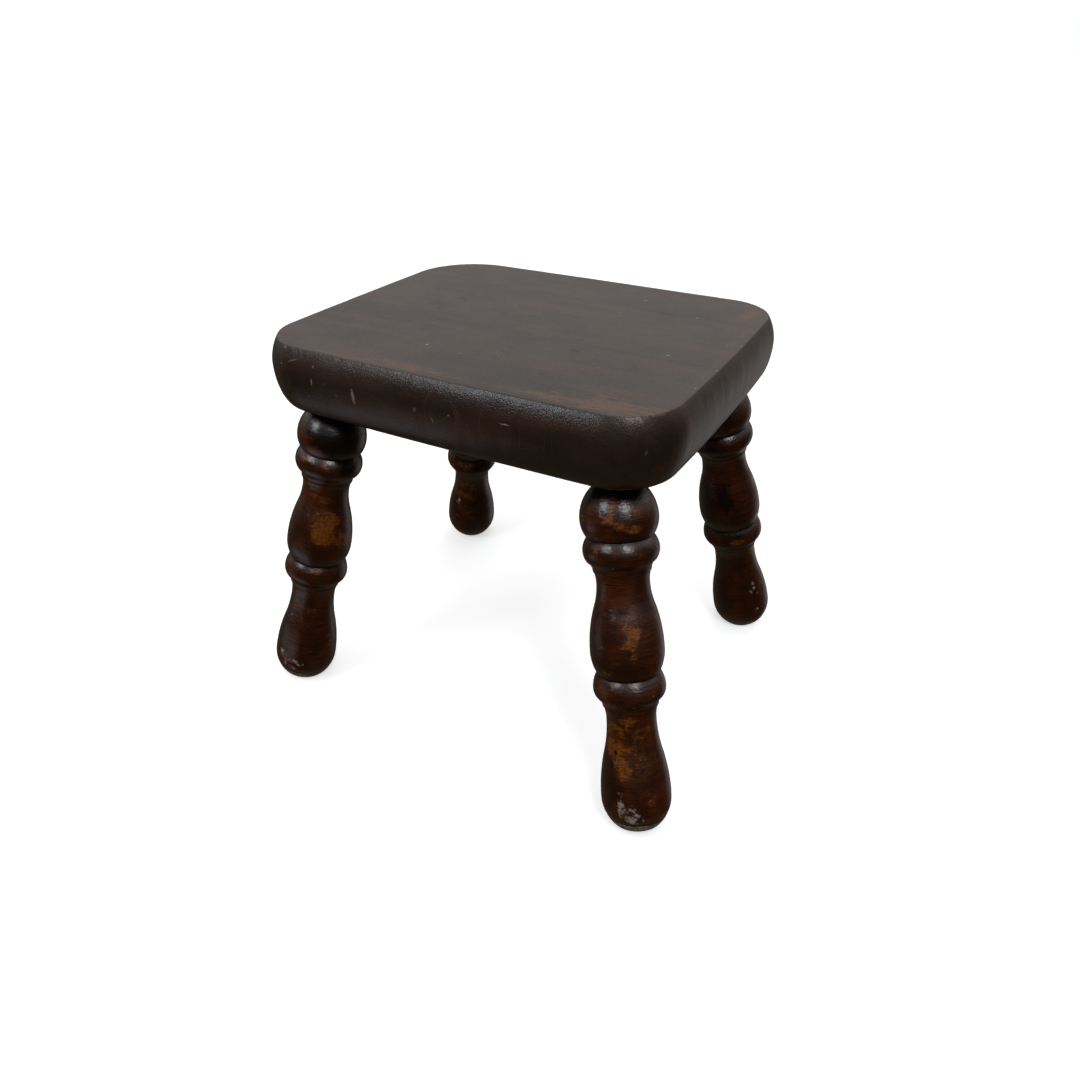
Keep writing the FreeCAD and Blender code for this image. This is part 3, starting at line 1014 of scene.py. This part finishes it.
def make_floor():
    mesh = bpy.data.meshes.new("floor")
    h = FLOOR_HALF
    mesh.from_pydata([(-h, -h, 0), (h, -h, 0), (h, h, 0), (-h, h, 0)], [], [(0, 1, 2, 3)])
    t = Surface("floor_white")
    t.set("Base Color", rgb(0.86, 0.86, 0.85))
    t.set("Roughness", 0.9)
    t.set("Specular IOR Level", 0.1)
    t.set("Emission Color", WHITE)
    t.set("Emission Strength", FLOOR_GLOW)
    floor = show("floor", mesh, t.material)
    floor.visible_glossy = False
    floor.visible_diffuse = False


def direction(azimuth, elevation):
    """Unit vector from the stool; azimuth 0 is the front, and +90 the right."""
    a, e = math.radians(azimuth), math.radians(elevation)
    return Vector((math.sin(a) * math.cos(e), -math.cos(a) * math.cos(e), math.sin(e)))


def area_light(name, at, facing, width, height, power, colour, turn=0.0):
    """A rectangular light. turn spins it about the way that it faces, in degrees."""
    data = bpy.data.lights.new(name, "AREA")
    data.shape = "RECTANGLE"
    data.size, data.size_y = width, height
    data.energy = power
    data.color = colour
    light = bpy.data.objects.new(name, data)
    light.location = at
    spin = Quaternion((0, 0, 1), math.radians(turn))
    light.rotation_euler = (facing.to_track_quat("-Z", "Y") @ spin).to_euler()
    light.visible_camera = False
    bpy.context.scene.collection.objects.link(light)


def make_lights():
    for name, (azimuth, elevation, width, height, power, turn) in WINDOWS.items():
        away = direction(azimuth, elevation)
        at = WINDOW_AIM + away * WINDOW_DISTANCE
        area_light(name, at, -away, width, height, power, WINDOW_COLOUR, turn)
    at, width, height, power, colour = FLOOR_SHEEN
    area_light("floor_sheen", at, Vector((0, 0, 1)), width, height, power, colour)


def make_world():
    """White to the camera. To everything else a room: bright above, dark and warm below."""
    world = bpy.data.worlds.new("room")
    world.use_nodes = True
    world.node_tree.nodes.clear()
    t = Tree(world.node_tree)
    sight = t.add("ShaderNodeTexCoord").outputs["Generated"]
    up = t.add("ShaderNodeSeparateXYZ", {0: sight}).outputs["Z"]
    height = t.add("ShaderNodeMapRange", {"Value": up, "From Min": -1}).outputs["Result"]

    def ramp(stops):
        node = t.add("ShaderNodeValToRGB", {0: height})
        elements = node.color_ramp.elements
        for i, (elevation, colour) in enumerate(stops):
            position = (math.sin(math.radians(elevation)) + 1) / 2
            element = elements[i] if i < 2 else elements.new(position)
            element.position = position
            element.color = rgb(*colour)
        return node.outputs[0]

    def facing(way):
        """Cosine of the angle between the line of sight and a given way."""
        return t.vector("DOT_PRODUCT", sight, way, "Value")

    behind = t.smooth(facing(-direction(CAMERA_AZIMUTH, 0)), *WALL_BLEND)
    walls = t.mix(behind, ramp(NEAR_WALL), ramp(FAR_WALL))
    azimuth, elevation, (inner, outer), colour = LOW_SHINE
    limits = math.cos(math.radians(outer)), math.cos(math.radians(inner))
    shine = t.smooth(facing(direction(azimuth, elevation)), *limits)
    room = t.mix(shine, walls, rgb(*colour), blend_type="ADD")
    backgrounds = [t.add("ShaderNodeBackground", {0: colour}).outputs[0] for colour in (room, WHITE)]
    seen = t.add("ShaderNodeLightPath").outputs["Is Camera Ray"]
    both = t.add("ShaderNodeMixShader", {0: seen, 1: backgrounds[0], 2: backgrounds[1]})
    t.add("ShaderNodeOutputWorld", {0: both.outputs[0]})
    bpy.context.scene.world = world


def make_camera():
    data = bpy.data.cameras.new("camera")
    data.lens, data.sensor_width = LENS, SENSOR
    data.clip_start, data.clip_end = 0.01, 60
    camera = bpy.data.objects.new("camera", data)
    back = direction(CAMERA_AZIMUTH, CAMERA_ELEVATION)
    camera.location = (CAMERA_AIM + back * CAMERA_DISTANCE) * MM
    camera.rotation_euler = back.to_track_quat("Z", "Y").to_euler()
    bpy.context.scene.collection.objects.link(camera)
    bpy.context.scene.camera = camera


make_floor()
make_world()
make_camera()
make_lights()
bpy.context.scene.view_settings.view_transform = "Standard"
